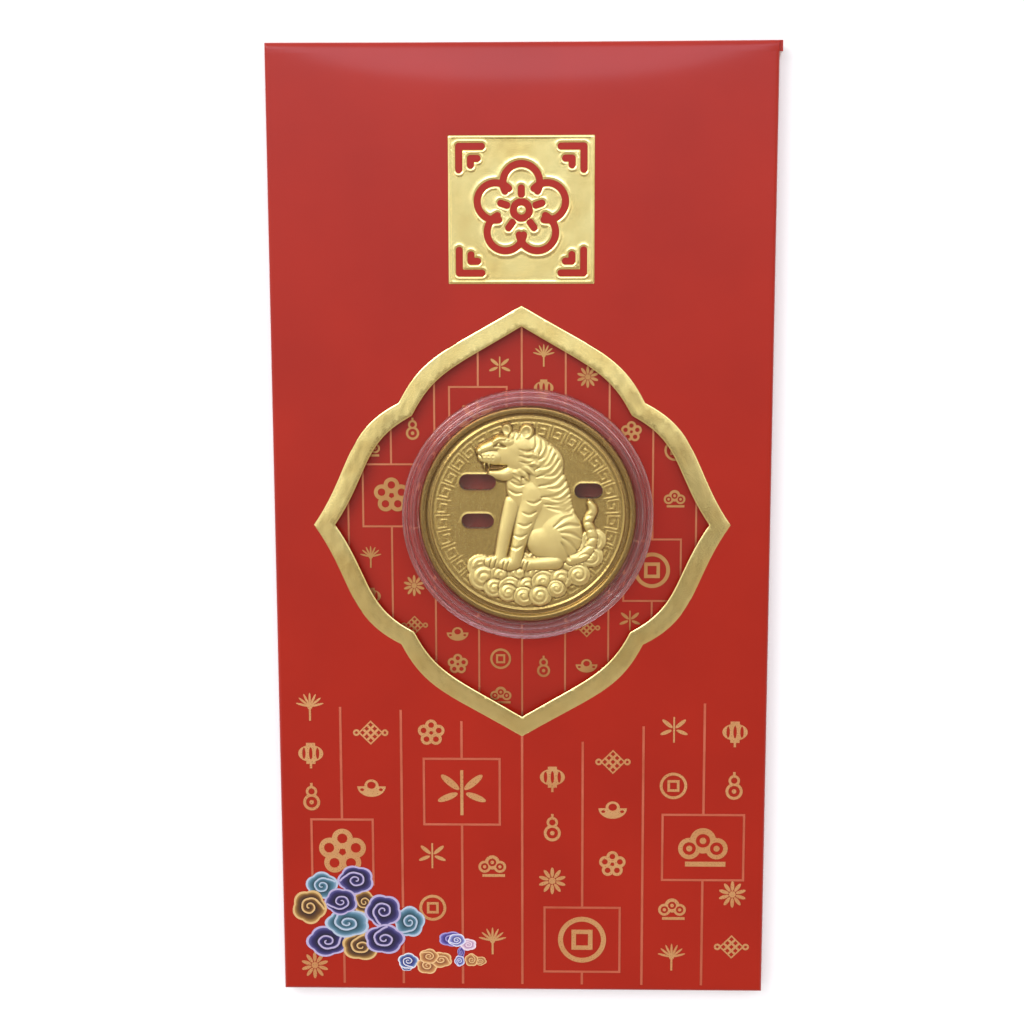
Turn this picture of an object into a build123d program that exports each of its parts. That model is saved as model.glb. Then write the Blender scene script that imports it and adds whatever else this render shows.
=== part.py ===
from build123d import *
import os
from math import cos, radians, sin, sqrt

# The envelope lies on its back. +Z comes out of the printed front, +Y points to the flap
# end, and the origin is in the middle of the surface that it rests on. Millimetres.

# Envelope sheet
envelope_width = 92.0
envelope_height = 178.0
card_thickness = 0.35
fold_inner_radius = 0.35
fold_flat = 0.3
glue_thickness = 0.1
sheet_gap = 0.1
pocket_room = 1.5
seam_overlap = 12.0
seam_step = 1.2
seam_glue_margin = 1.5
bottom_flap_length = 26.0
bottom_flap_taper = 9.0
bottom_glue_margin = 3.0

# Closure flap
flap_length = 28.0
flap_taper = 6.0
flap_corner_radius = 5.0
flap_overhang = 0.6
crease_gap = 0.05

# Insert card, loose in the pocket
insert_thickness = 0.4
insert_side_gap = 0.9
insert_end_gap = 3.0
insert_corner_radius = 2.0

# Coin
coin_radius = 20.0
coin_field_thickness = 2.2
coin_rim_width = 1.3
coin_rim_height = 0.5
coin_line_gap = 0.7
coin_line_width = 0.35
coin_line_height = 0.2
relief_mound_height = 0.5
relief_body_height = 0.8
relief_head_height = 1.05

# Clear capsule
capsule_wall = 1.0
capsule_floor = 1.0
capsule_top = 1.0
capsule_lip = 0.4
capsule_edge_round = 0.35
coin_side_gap = 0.3
coin_seat_gap = 0.05
coin_top_gap = 0.3
lid_side_gap = 0.3
lid_seat_gap = 0.1
pad_radius = 17.0
pad_thickness = 0.15
capsule_shift_x = 1.1
capsule_shift_y = 2.2

# Window and the foil around it
window_centre_y = 1.8
window_tip_room_up = 13.6
window_tip_room_side = 11.7
window_barb_room = 5.6
border_width = 3.2

# Foil and print on the front
foil_thickness = 0.05
print_thickness = 0.03
square_side = 26.5
square_gap = 3.9
square_stroke = 1.2
rule_width = 0.45
rule_pitch = 11.45
rule_foot_gap = 0.3
frame_line = 0.42
frame_width = 14.8
frame_height = 13.3
motif_size = 5.4
frame_motif_size = 9.6
cloud_span = 25.0
small_cloud_span = 15.0

# Print on the insert
insert_rule_width = 0.35
insert_rule_pitch = 8.1
insert_rule_count = 9
insert_print_height = 88.0
insert_frame_line = 0.34
insert_frame_width = 11.0
insert_frame_height = 12.0
insert_motif_size = 4.1
insert_frame_motif_size = 7.0
pad_print_gap = 0.3

# One overrun serves all cuts
cut_overrun = 1.0

# Window outline: how each half lobe leaves its tip and meets its barb
tip_lean_up = 31.0
tip_lean_side = 35.0
barb_lean = 26.6
up_handle_shares = (0.54, 0.35)
side_handle_shares = (0.45, 0.42)

# Tops of the front rules, as shares of the envelope's height
rule_top_shares = (-0.185, -0.188, -0.2, -0.2, -0.222, -0.205, -0.18)
# Frames on the front: rule number, then centre height and width as shares
front_frame_shares = ((0, -0.345, 0.82), (2, -0.2775, 1.0), (4, -0.442, 1.0), (6, -0.338, 1.07))
# Small marks on the front: column number and heights as shares of the envelope's height
front_motif_shares = (
    (0, (-0.185, -0.236, -0.284, -0.473)),
    (1, (-0.213, -0.272)),
    (2, (-0.213, -0.348, -0.407)),
    (3, (-0.360, -0.444)),
    (4, (-0.261, -0.317, -0.376)),
    (5, (-0.244, -0.295, -0.357)),
    (6, (-0.208, -0.270, -0.407, -0.461)),
    (7, (-0.211, -0.270, -0.390, -0.449)),
)
# Frames on the insert: rule number and centre height as a share of the printed height
insert_frame_shares = ((1, 0.06), (3, 0.223), (7, -0.1))
insert_motif_shares = (
    (1, (0.161, -0.072, -0.157)),
    (2, (0.201, -0.134, -0.220)),
    (3, (-0.236, -0.305)),
    (4, (0.332, -0.293, -0.373)),
    (5, (0.355, 0.287, -0.310)),
    (6, (0.310, -0.225, -0.305)),
    (7, (0.195, -0.208)),
    (8, (0.156, 0.053)),
)
# Cloud puffs: centre and radius as shares of the cluster's span
cloud_place_shares = (-0.342, -0.413)
cloud_puff_shares = (
    (-0.272, 0.200, 0.120), (-0.032, 0.228, 0.140), (-0.368, 0.052, 0.136),
    (-0.148, 0.100, 0.116), (0.040, 0.080, 0.088), (0.204, 0.020, 0.132),
    (0.388, -0.068, 0.120), (-0.068, -0.080, 0.144), (-0.260, -0.220, 0.128),
    (0.020, -0.272, 0.116), (0.220, -0.200, 0.136),
)
small_cloud_place_shares = (-0.168, -0.458)
small_cloud_puff_shares = (
    (0.163, 0.173, 0.127), (0.343, 0.107, 0.100), (0.250, -0.010, 0.060),
    (0.230, -0.113, 0.073), (0.430, -0.100, 0.087), (-0.170, -0.073, 0.127),
    (0.010, -0.080, 0.100), (-0.170, -0.193, 0.100), (-0.423, -0.120, 0.120),
    (-0.300, -0.167, 0.080),
)
# Relief on the coin, as shares of its radius
tiger_back_shares = (
    (-0.30, 0.44), (-0.14, 0.66), (0.10, 0.70), (0.30, 0.48), (0.40, 0.16), (0.47, -0.16),
    (0.42, -0.44), (-0.26, -0.46), (-0.30, -0.20), (-0.17, 0.06), (-0.16, 0.26),
)
tiger_head_shares = (-0.16, 0.56, 0.22)
tiger_muzzle_shares = (-0.36, 0.51, 0.12)
mound_puff_shares = (
    (-0.40, -0.52, 0.15), (-0.18, -0.60, 0.15), (0.06, -0.62, 0.16), (0.30, -0.56, 0.17),
    (0.50, -0.40, 0.15),
)
coin_slot_shares = ((-0.46, 0.30, 0.34, 0.15), (-0.46, -0.06, 0.30, 0.14), (0.56, 0.22, 0.26, 0.14))

# Marks of gold foil, as shares of a mark's size. Each row is an oval or a bar, added (1) or
# cut (-1): place, width and height, then first turn, turn step and copies about the middle.
plum_shares = (
    ("oval", 1, 0, 0.27, 0.42, 0.42, 0, 72, 5), ("oval", -1, 0, 0.28, 0.2, 0.2, 0, 72, 5),
    ("oval", -1, 0, 0, 0.13, 0.13, 0, 0, 1),
)
sprig_shares = (
    ("bar", 1, 0, -0.02, 0.06, 0.92, 0, 0, 1), ("oval", 1, 0, 0.3, 0.14, 0.46, 50, -100, 2),
    ("oval", 1, 0, 0.3, 0.13, 0.42, 112, -224, 2),
)
cash_shares = (
    ("oval", 1, 0, 0, 0.96, 0.96, 0, 0, 1), ("oval", -1, 0, 0, 0.76, 0.76, 0, 0, 1),
    ("bar", 1, 0, 0, 0.42, 0.42, 0, 0, 1), ("bar", -1, 0, 0, 0.24, 0.24, 0, 0, 1),
)
cloud_mark_shares = (
    ("oval", 1, -0.27, -0.02, 0.44, 0.44, 0, 0, 1), ("oval", 1, 0, 0.14, 0.52, 0.52, 0, 0, 1),
    ("oval", 1, 0.27, -0.02, 0.44, 0.44, 0, 0, 1), ("oval", -1, -0.27, -0.02, 0.26, 0.26, 0, 0, 1),
    ("oval", -1, 0, 0.14, 0.28, 0.28, 0, 0, 1), ("oval", -1, 0.27, -0.02, 0.26, 0.26, 0, 0, 1),
    ("oval", 1, -0.27, -0.02, 0.12, 0.12, 0, 0, 1), ("oval", 1, 0, 0.14, 0.13, 0.13, 0, 0, 1),
    ("oval", 1, 0.27, -0.02, 0.12, 0.12, 0, 0, 1), ("bar", 1, 0.05, -0.34, 0.8, 0.1, 0, 0, 1),
)
pine_shares = (
    ("oval", 1, 0, 0.28, 0.08, 0.44, -75, 25, 7), ("oval", 1, 0, 0, 0.18, 0.18, 0, 0, 1),
    ("bar", 1, 0, -0.25, 0.07, 0.5, 0, 0, 1),
)
lantern_shares = (
    ("oval", 1, 0, 0, 0.88, 0.6, 0, 0, 1), ("oval", -1, 0.24, 0, 0.12, 0.4, 0, 180, 2),
    ("oval", -1, 0, 0, 0.12, 0.44, 0, 0, 1), ("bar", 1, 0, 0.33, 0.32, 0.1, 0, 180, 2),
    ("bar", 1, 0, -0.44, 0.08, 0.2, 0, 0, 1),
)
gourd_shares = (
    ("oval", 1, 0, -0.19, 0.6, 0.6, 0, 0, 1), ("oval", 1, 0, 0.2, 0.4, 0.4, 0, 0, 1),
    ("oval", -1, 0, -0.19, 0.4, 0.4, 0, 0, 1), ("oval", -1, 0, 0.2, 0.22, 0.22, 0, 0, 1),
    ("bar", 1, 0, 0.44, 0.09, 0.14, 0, 0, 1), ("oval", 1, 0, -0.19, 0.16, 0.16, 0, 0, 1),
)
chrysanthemum_shares = (
    ("oval", 1, 0, 0.31, 0.13, 0.36, 0, 36, 10), ("oval", 1, 0, 0, 0.24, 0.24, 0, 0, 1),
)
knot_shares = (
    ("bar", 1, 0, 0, 0.62, 0.62, 45, 0, 1), ("bar", -1, 0.2, 0.2, 0.12, 0.12, 45, 90, 4),
    ("bar", -1, 0.2, 0, 0.12, 0.12, 45, 90, 4), ("bar", -1, 0, 0, 0.12, 0.12, 45, 0, 1),
    ("oval", 1, 0.5, 0, 0.24, 0.24, 0, 180, 2), ("oval", -1, 0.5, 0, 0.1, 0.1, 0, 180, 2),
)
ingot_shares = (
    ("oval", 1, 0, 0, 1.0, 0.76, 0, 0, 1), ("bar", -1, 0, 0.25, 1.1, 0.5, 0, 0, 1),
    ("oval", 1, 0, 0.02, 0.5, 0.46, 0, 0, 1), ("oval", -1, 0, 0.04, 0.3, 0.26, 0, 0, 1),
    ("oval", -1, 0.33, -0.12, 0.14, 0.1, 0, 0, 1), ("oval", -1, -0.33, -0.12, 0.14, 0.1, 0, 0, 1),
)
mark_shares = (
    plum_shares, sprig_shares, cash_shares, cloud_mark_shares, pine_shares, lantern_shares,
    gourd_shares, chrysanthemum_shares, knot_shares, ingot_shares,
)

# Blossom cut out of the foil square, as shares of its side
blossom_petals = 5
petal_place_share = 0.185
petal_radius_share = 0.125
petal_sweep = 236.0
blossom_eye_share = 0.055
stamen_place_share = 0.125
stamen_length_share = 0.09
# Corner brackets of the square: distance from the middle, then arm length
bracket_shares = ((0.425, 0.20), (0.345, 0.09))

# Heights of the sheets, from the surface upwards
back_low = card_thickness + glue_thickness
back_high = back_low + card_thickness
seam_low = back_high + glue_thickness
seam_high = seam_low + card_thickness
insert_low = seam_high + sheet_gap
insert_high = insert_low + insert_thickness
front_low = insert_high + pocket_room
front_high = front_low + card_thickness
foil_high = front_high + foil_thickness

# Edges of the flat front
half_width = envelope_width / 2
half_height = envelope_height / 2
fold_radius = fold_inner_radius + card_thickness
fold_reach = fold_radius + fold_flat
panel_side = half_width - fold_reach
panel_foot = fold_reach - half_height
flap_fold_radius = front_high / 2
crease_y = half_height - flap_fold_radius
crease_clear = card_thickness / 2 + crease_gap
panel_head = crease_y - crease_clear

# Capsule rings, from the coin outwards, and its heights
base_wall_inner = coin_radius + coin_side_gap
base_wall_outer = base_wall_inner + capsule_wall
skirt_inner = base_wall_outer + lid_side_gap
skirt_outer = skirt_inner + capsule_wall
capsule_radius = skirt_outer + capsule_lip
capsule_x = capsule_shift_x
capsule_y = window_centre_y + capsule_shift_y
capsule_low = insert_high + pad_thickness
floor_high = capsule_low + capsule_floor
coin_low = floor_high + coin_seat_gap
coin_field_high = coin_low + coin_field_thickness
coin_top = coin_field_high + relief_head_height
lid_under = coin_top + coin_top_gap
capsule_high = lid_under + capsule_top

# Window, sized round the capsule
window_reach_up = capsule_radius + window_tip_room_up
window_reach_side = capsule_radius + window_tip_room_side
window_barb = (capsule_radius + window_barb_room) / sqrt(2)
border_reach_up = window_reach_up + border_width / cos(radians(tip_lean_up))
border_reach_side = window_reach_side + border_width / cos(radians(tip_lean_side))
border_barb = window_barb + border_width / sin(radians(barb_lean + 45)) / sqrt(2)
square_centre_y = window_centre_y + border_reach_up + square_gap + square_side / 2

insert_middle = (insert_rule_count - 1) / 2
insert_half_width = half_width - card_thickness - insert_side_gap
insert_half_height = half_height - card_thickness - insert_end_gap


def slab(x0, x1, y0, y1, z0, z1):
    """Box between two corners."""
    middle = Pos((x0 + x1) / 2, (y0 + y1) / 2, (z0 + z1) / 2)
    return middle * Box(x1 - x0, y1 - y0, z1 - z0)


def raised(outline, low, high):
    """Flat outline made solid between two heights."""
    return Pos(0, 0, low) * extrude(outline, high - low)


def ring(inner, outer, low, high):
    """Round tube about the Z axis."""
    return raised(Circle(outer) - Circle(inner), low, high)


def joined(pieces):
    """Several outlines as one."""
    return Sketch() + list(pieces)


def half_lobe(reach, barb, lean, handle_shares):
    """Points of one curve from a tip to a barb: distance along the lobe, then across it."""
    chord = sqrt((reach - barb) ** 2 + barb ** 2)
    from_tip = chord * handle_shares[0]
    from_barb = chord * handle_shares[1]
    return (
        (reach, 0),
        (reach - from_tip * sin(radians(lean)), from_tip * cos(radians(lean))),
        (barb + from_barb * cos(radians(barb_lean)), barb - from_barb * sin(radians(barb_lean))),
        (barb, barb),
    )


def quatrefoil(reach_up, reach_side, barb):
    """Four pointed lobes that meet in barbs."""
    up = half_lobe(reach_up, barb, tip_lean_up, up_handle_shares)
    side = half_lobe(reach_side, barb, tip_lean_side, side_handle_shares)
    edges = []
    for sx in (1, -1):
        for sy in (1, -1):
            edges.append(Bezier(*[(sx * across, sy * along) for along, across in up]))
            edges.append(Bezier(*[(sx * along, sy * across) for along, across in side]))
    return Pos(0, window_centre_y) * make_face(edges)


def window_outline():
    return quatrefoil(window_reach_up, window_reach_side, window_barb)


def border_outline():
    return quatrefoil(border_reach_up, border_reach_side, border_barb)


def turned_fold(depth):
    """Section of a fold: a wall with two rounded corners, open towards -x, centred in height."""
    middle_left = (Align.MIN, Align.CENTER)
    outer = Rectangle(fold_reach, depth, align=middle_left)
    outer = fillet(outer.vertices().group_by(Axis.X)[-1], fold_radius)
    inner_reach = fold_reach - card_thickness
    inner = Rectangle(inner_reach, depth - 2 * card_thickness, align=middle_left)
    inner = fillet(inner.vertices().group_by(Axis.X)[-1], fold_inner_radius)
    return outer - inner


def along_y(section, y0, y1):
    """Section in X and Z, made solid between two places on Y."""
    return Pos(0, y1, 0) * extrude(Plane.XZ * section, y1 - y0)


def along_x(section, x0, x1):
    """Section in Y and Z, made solid between two places on X."""
    return Pos(x0, 0, 0) * extrude(Plane.YZ * section, x1 - x0)


def front_panel():
    panel = slab(-panel_side, panel_side, panel_foot, panel_head, front_low, front_high)
    return panel - raised(window_outline(), front_low - cut_overrun, front_high + cut_overrun)


def side_fold_section():
    depth = front_high - back_low
    return Pos(panel_side, back_low + depth / 2) * turned_fold(depth)


def right_wrap():
    """Right side fold and the outer half of the back."""
    section = side_fold_section()
    left_edge = sheet_gap - seam_overlap / 2
    plate = slab(left_edge, panel_side, panel_foot, panel_head, back_low, back_high)
    return along_y(section, panel_foot, panel_head) + plate


def left_wrap():
    """Left side fold and the inner half of the back, stepped up over the seam."""
    fold = along_y(mirror(side_fold_section(), about=Plane.YZ), panel_foot, panel_head)
    step_high = -seam_overlap / 2
    step_low = step_high - seam_step
    plate = Polygon(
        (-panel_side, back_low), (step_low, back_low), (step_high, seam_low),
        (seam_overlap / 2, seam_low), (seam_overlap / 2, seam_high), (step_high, seam_high),
        (step_low, back_high), (-panel_side, back_high), align=None,
    )
    return fold + along_y(plate, panel_foot, panel_head)


def seam_glue():
    half = seam_overlap / 2 - seam_glue_margin
    foot = panel_foot + seam_glue_margin
    head = panel_head - seam_glue_margin
    return slab(-half, half, foot, head, back_high, seam_low)


def bottom_flap():
    """Bottom fold and its tapered flap, which the envelope lies on."""
    section = Pos(panel_foot, front_high / 2) * mirror(turned_fold(front_high), about=Plane.YZ)
    fold = along_x(section, -half_width, half_width)
    tip_half = half_width - bottom_flap_taper
    tip = panel_foot + bottom_flap_length
    leaf = Polygon(
        (-half_width, panel_foot), (half_width, panel_foot), (tip_half, tip), (-tip_half, tip),
        align=None,
    )
    return fold + raised(leaf, 0, card_thickness)


def bottom_glue():
    half = half_width - bottom_flap_taper - bottom_glue_margin
    step_side = -seam_overlap / 2 - seam_step
    tip = panel_foot + bottom_flap_length - bottom_glue_margin
    foot = panel_foot + bottom_glue_margin
    left = slab(-half, step_side, foot, tip, card_thickness, back_low)
    right = slab(sheet_gap - seam_overlap / 2, half, foot, tip, card_thickness, back_low)
    return Compound([left, right])


def flap_fold():
    """Half-round strip over the mouth, with a round bead on each crease."""
    bead = card_thickness / 2
    outer = Circle(flap_fold_radius) - Circle(flap_fold_radius - card_thickness)
    half = Rectangle(flap_fold_radius, 2 * flap_fold_radius, align=(Align.MIN, Align.CENTER))
    beads = [Pos(0, side * (flap_fold_radius - bead)) * Circle(bead) for side in (1, -1)]
    section = Pos(crease_y, flap_fold_radius) * ((outer & half) + beads)
    return along_x(section, -half_width, half_width + flap_overhang)


def closure_flap():
    """Leaf of the flap, folded behind the top of the envelope."""
    left = -half_width
    right = half_width + flap_overhang
    tip = crease_y - flap_length
    leaf = Polygon(
        (left, panel_head), (left + flap_taper, tip), (right - flap_taper, tip), (right, panel_head),
        align=None,
    )
    leaf = fillet(leaf.vertices().group_by(Axis.Y)[0], flap_corner_radius)
    return raised(leaf, 0, card_thickness)


def insert_card():
    card = RectangleRounded(2 * insert_half_width, 2 * insert_half_height, insert_corner_radius)
    return raised(card, insert_low, insert_high)


def capsule_pad():
    return Pos(capsule_x, capsule_y) * raised(Circle(pad_radius), insert_high, capsule_low)


def capsule_base():
    """Lower half of the capsule: floor with a lip, and the wall that holds the coin."""
    floor = raised(Circle(capsule_radius), capsule_low, floor_high)
    floor = fillet(floor.edges().filter_by(GeomType.CIRCLE), capsule_edge_round)
    wall = ring(base_wall_inner, base_wall_outer, floor_high, lid_under - lid_seat_gap)
    return Pos(capsule_x, capsule_y) * (floor + wall)


def capsule_lid():
    """Upper half of the capsule: clear top, and a skirt outside the base's wall."""
    top = raised(Circle(capsule_radius), lid_under, capsule_high)
    top = fillet(top.edges().filter_by(GeomType.CIRCLE), capsule_edge_round)
    skirt = ring(skirt_inner, skirt_outer, floor_high + lid_seat_gap, lid_under)
    return Pos(capsule_x, capsule_y) * (top + skirt)


def coin_disc(shares):
    """Circle on the coin from its centre and radius shares."""
    x, y, radius = [coin_radius * share for share in shares]
    return Pos(x, y) * Circle(radius)


def coin():
    """Struck disc with a rim, a line inside it, slots and a seated tiger on a mound."""
    disc = raised(Circle(coin_radius), coin_low, coin_field_high)
    for x_share, y_share, length_share, height_share in coin_slot_shares:
        slot = SlotOverall(coin_radius * length_share, coin_radius * height_share)
        place = Pos(coin_radius * x_share, coin_radius * y_share)
        disc -= place * raised(slot, coin_low - cut_overrun, coin_field_high + cut_overrun)
    rim_inner = coin_radius - coin_rim_width
    disc += ring(rim_inner, coin_radius, coin_field_high, coin_field_high + coin_rim_height)
    line_outer = rim_inner - coin_line_gap
    line_inner = line_outer - coin_line_width
    disc += ring(line_inner, line_outer, coin_field_high, coin_field_high + coin_line_height)
    back = [(coin_radius * x, coin_radius * y) for x, y in tiger_back_shares]
    body = make_face(Spline(*back, periodic=True))
    head = joined([coin_disc(tiger_head_shares), coin_disc(tiger_muzzle_shares)])
    mound = joined(coin_disc(shares) for shares in mound_puff_shares)
    reliefs = ((mound, relief_mound_height), (body, relief_body_height), (head, relief_head_height))
    for outline, height in reliefs:
        disc += raised(outline, coin_low, coin_field_high + height)
    return Pos(capsule_x, capsule_y) * disc


def mark_outline(rows):
    """One mark of gold foil, one unit high: ovals and bars added or cut in turn."""
    outline = Sketch()
    for kind, sign, x, y, width, height, first_turn, turn_step, copies in rows:
        shape = Ellipse(width / 2, height / 2) if kind == "oval" else Rectangle(width, height)
        turned = [Rot(0, 0, first_turn + turn_step * i) * Pos(x, y) * shape for i in range(copies)]
        outline = outline + turned if sign > 0 else outline - turned
    return outline


mark_outlines = [mark_outline(rows) for rows in mark_shares]


def marks(places, low, clear_of):
    """Marks of each kind in turn, as one group of solids, kept off other print."""
    solids = []
    for number, (x, y, size) in enumerate(places):
        outline = scale(mark_outlines[number % len(mark_outlines)], by=size)
        outline = (Pos(x, y) * outline) - clear_of
        solids.extend(raised(outline, low, low + foil_thickness).solids())
    return Compound(solids)


def cloud_outline(place_shares, puff_shares, span):
    """Puffs of one cloud cluster as one outline."""
    x = envelope_width * place_shares[0]
    y = envelope_height * place_shares[1]
    return joined(Pos(x + span * u, y + span * v) * Circle(span * r) for u, v, r in puff_shares)


def all_clouds():
    large = cloud_outline(cloud_place_shares, cloud_puff_shares, cloud_span)
    small = cloud_outline(small_cloud_place_shares, small_cloud_puff_shares, small_cloud_span)
    return large + small


def cloud_print():
    return raised(all_clouds(), front_high, front_high + print_thickness)


def foil_window_border():
    return raised(border_outline() - window_outline(), front_high, foil_high)


def square_strokes():
    """Rounded strokes of a five-petalled blossom, with brackets in the corners."""
    petal_middle = (square_side * petal_place_share, 0)
    petal = CenterArc(petal_middle, square_side * petal_radius_share, -petal_sweep / 2, petal_sweep)
    stamen = SlotOverall(square_side * stamen_length_share, square_stroke)
    stamen = Pos(square_side * stamen_place_share, 0) * stamen
    eye = square_side * blossom_eye_share
    strokes = [Circle(eye + square_stroke / 2) - Circle(eye - square_stroke / 2)]
    for number in range(blossom_petals):
        turn = 90 + number * 360 / blossom_petals
        strokes.append(Rot(0, 0, turn) * SlotArc(petal, square_stroke))
        strokes.append(Rot(0, 0, turn) * stamen)
    for place_share, arm_share in bracket_shares:
        corner = square_side * place_share
        arm = square_side * arm_share
        bar = Pos(corner - arm / 2 + square_stroke / 2, corner) * SlotOverall(arm, square_stroke)
        bracket = bar + mirror(bar, about=Plane((0, 0, 0), x_dir=(1, 1, 0), z_dir=(1, -1, 0)))
        strokes.extend(Rot(0, 0, turn) * bracket for turn in (0, 90, 180, 270))
    return joined(strokes)


def foil_square():
    plate = Rectangle(square_side, square_side) - square_strokes()
    return raised(Pos(0, square_centre_y) * plate, front_high, foil_high)


def front_frame_places():
    middle = (len(rule_top_shares) - 1) / 2
    for rule, y_share, width_share in front_frame_shares:
        yield (rule - middle) * rule_pitch, envelope_height * y_share, frame_width * width_share


def front_frame_fields():
    return [Pos(x, y) * Rectangle(width, frame_height) for x, y, width in front_frame_places()]


def foil_rules():
    foot = panel_foot + rule_foot_gap
    middle = (len(rule_top_shares) - 1) / 2
    rules = []
    for number, share in enumerate(rule_top_shares):
        height = envelope_height * share - foot
        place = Pos((number - middle) * rule_pitch, foot + height / 2)
        rules.append(place * Rectangle(rule_width, height))
    outline = joined(rules) - front_frame_fields() - border_outline() - all_clouds()
    return Compound(raised(outline, front_high, foil_high).solids())


def foil_frames():
    frames = []
    for x, y, width in front_frame_places():
        inner = Rectangle(width - 2 * frame_line, frame_height - 2 * frame_line)
        frames.append(Pos(x, y) * (Rectangle(width, frame_height) - inner))
    outline = joined(frames) - all_clouds() - border_outline()
    return Compound(raised(outline, front_high, foil_high).solids())


def foil_motifs():
    places = [(x, y, frame_motif_size) for x, y, width in front_frame_places()]
    middle = len(rule_top_shares) / 2
    for column, y_shares in front_motif_shares:
        for y_share in y_shares:
            places.append(((column - middle) * rule_pitch, envelope_height * y_share, motif_size))
    return marks(places, front_high, all_clouds() + border_outline())


def insert_frame_places():
    for rule, y_share in insert_frame_shares:
        yield (rule - insert_middle) * insert_rule_pitch, window_centre_y + insert_print_height * y_share


def pad_field():
    return Pos(capsule_x, capsule_y) * Circle(pad_radius + pad_print_gap)


def insert_foil_rules():
    rule = Rectangle(insert_rule_width, insert_print_height)
    rules = [
        Pos((number - insert_middle) * insert_rule_pitch, window_centre_y) * rule
        for number in range(insert_rule_count)
    ]
    field = Rectangle(insert_frame_width, insert_frame_height)
    outline = joined(rules) - [Pos(x, y) * field for x, y in insert_frame_places()] - pad_field()
    return Compound(raised(outline, insert_high, insert_high + foil_thickness).solids())


def insert_foil_frames():
    inner_width = insert_frame_width - 2 * insert_frame_line
    inner_height = insert_frame_height - 2 * insert_frame_line
    frame = Rectangle(insert_frame_width, insert_frame_height) - Rectangle(inner_width, inner_height)
    outline = joined(Pos(x, y) * frame for x, y in insert_frame_places()) - pad_field()
    return Compound(raised(outline, insert_high, insert_high + foil_thickness).solids())


def insert_foil_motifs():
    places = [(x, y, insert_frame_motif_size) for x, y in insert_frame_places()]
    middle = insert_rule_count / 2
    for column, y_shares in insert_motif_shares:
        for y_share in y_shares:
            y = window_centre_y + insert_print_height * y_share
            places.append(((column - middle) * insert_rule_pitch, y, insert_motif_size))
    return marks(places, insert_high, pad_field())


nodes = (
    front_panel, left_wrap, right_wrap, seam_glue, bottom_flap, bottom_glue, flap_fold, closure_flap,
    insert_card, capsule_pad, capsule_base, capsule_lid, coin, foil_window_border, foil_square,
    foil_rules, foil_frames, foil_motifs, cloud_print, insert_foil_rules, insert_foil_frames,
    insert_foil_motifs,
)

os.makedirs("parts", exist_ok=True)
for node in nodes:
    export_step(node(), f"parts/{node.__name__}.step")
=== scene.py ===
from math import cos, pi, radians, sin

import bpy
import numpy as np
from mathutils import Matrix, Vector
from mathutils.geometry import delaunay_2d_cdt


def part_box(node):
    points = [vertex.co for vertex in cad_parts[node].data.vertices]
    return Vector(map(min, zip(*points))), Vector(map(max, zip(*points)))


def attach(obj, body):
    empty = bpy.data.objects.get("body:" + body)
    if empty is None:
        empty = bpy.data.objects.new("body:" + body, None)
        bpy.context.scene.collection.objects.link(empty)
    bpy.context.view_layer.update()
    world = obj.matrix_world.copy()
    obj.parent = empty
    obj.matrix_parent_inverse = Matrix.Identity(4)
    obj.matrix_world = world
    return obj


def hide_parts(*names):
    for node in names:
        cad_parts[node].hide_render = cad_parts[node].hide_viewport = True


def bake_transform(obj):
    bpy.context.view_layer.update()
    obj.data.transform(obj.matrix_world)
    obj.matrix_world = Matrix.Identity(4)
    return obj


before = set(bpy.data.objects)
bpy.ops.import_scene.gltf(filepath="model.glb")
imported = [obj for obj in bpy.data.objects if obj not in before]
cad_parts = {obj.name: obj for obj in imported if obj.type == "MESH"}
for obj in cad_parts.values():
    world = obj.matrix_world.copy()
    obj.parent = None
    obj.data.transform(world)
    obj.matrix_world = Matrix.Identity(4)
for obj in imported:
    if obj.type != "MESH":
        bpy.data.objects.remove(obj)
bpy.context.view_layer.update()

# Sizes and places are in millimetres. Meshes are made in metres by add_piece.
metre = 1000.0

# Front of the envelope: near the mouth it leans back in a lens-shaped patch
lens_reach = 6.6
lens_power = 2.75
lens_slope = 0.14
lens_crease = 1.4
sheet_step = 3.0
lens_step = 0.7
rim_step = 1.5

# Folds over the mouth and round the foot
fold_slices = 64
fold_end_slices = 8
fold_steps = 14
fold_squareness = 4.0
fold_radius = 0.7
foot_flap_length = 26.0
foot_flap_taper = 9.0

# Embossed foil
square_height = 0.10
square_lip = 0.07
square_lip_place = 0.36
square_lip_width = 0.17
square_edge = 0.24
square_step = 0.45
square_rows = (0.1, 0.2, 0.36, 0.52)
border_height = 0.07
border_edge = 0.25
border_step = 0.8
border_rows = (0.1, 0.25)
foil_foot = 0.02

# Clouds of printed ink
puff_lobes = 5
puff_scallop = 0.13
puff_points = 80
puff_rings = 14
puff_outline_share = 0.88
fill_pale_share = 0.32
fill_dark_share = 0.55
ink_step = 0.002
spiral_turns = 1.75
spiral_points = 60
spiral_half_width = 0.055

# Capsule
capsule_side_gap = 0.3
capsule_wall = 1.0
capsule_plate = 1.0
capsule_round = 0.48
capsule_edge = 0.1
capsule_seat_gap = 0.1
turned_sides = 192
turned_margin = 0.12
capsule_groove = 0.5
capsule_groove_place = 1.0
capsule_groove_width = 0.8
capsule_bead = 0.45

# Coin
coin_field_thickness = 2.2
coin_step = 0.135
coin_wall_step = 0.6
relief_height = 1.0
rim_width = 1.3
rim_height = 0.5
line_outer = 18.0
line_width = 0.4
line_height = 0.22
fret_units = 34
fret_inner = 14.3
fret_outer = 17.0
fret_stroke = 0.3
fret_height = 0.07
slot_lip = 0.3
slot_lip_height = 0.08
# Painted shade: how far the gold is darkened on the rim band and in the relief's hollows
rim_shade = 0.5
hollow_shade = 0.8
hollow_rounds = 8

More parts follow.
